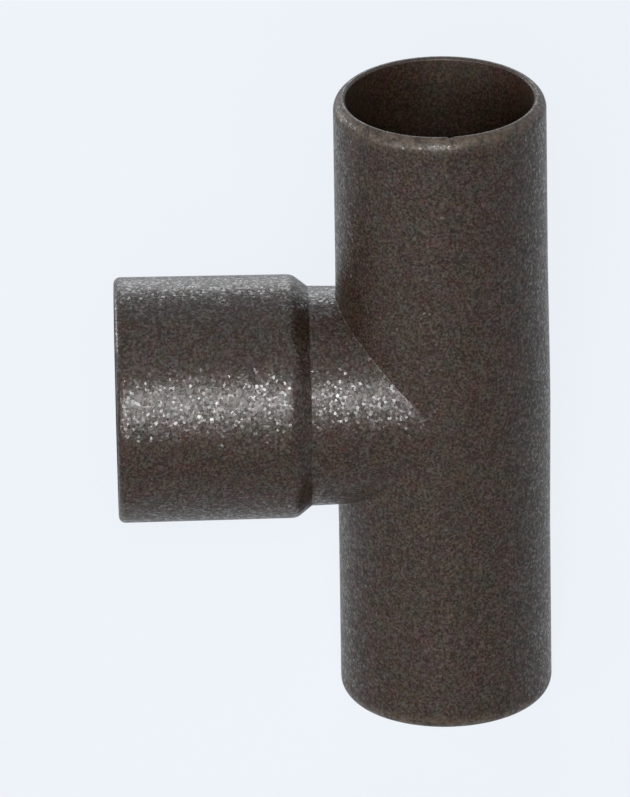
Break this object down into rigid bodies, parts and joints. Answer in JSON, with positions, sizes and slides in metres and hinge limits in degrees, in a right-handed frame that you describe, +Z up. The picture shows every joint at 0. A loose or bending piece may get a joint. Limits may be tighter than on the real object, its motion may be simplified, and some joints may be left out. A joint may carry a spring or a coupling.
{
  "type": "tube tee fitting",
  "caption": "Tube tee moulded in one piece: a straight run with plain spigot ends and a side branch that steps up over a conical shoulder into a socket for the same tube.",
  "frame": {"origin": "centre of the run's lower end, on the surface that it stands on", "axes": "+Z up along the run, -X out of the branch's socket"},
  "size_m": [0.0656, 0.037, 0.098],
  "materials": {
    "moulded_plastic": "black-brown moulded plastic with a fine spark-eroded texture and a soft sheen"
  },
  "bodies": {
    "root": {"tee_body": "moulded_plastic"}
  },
  "joints": []
}
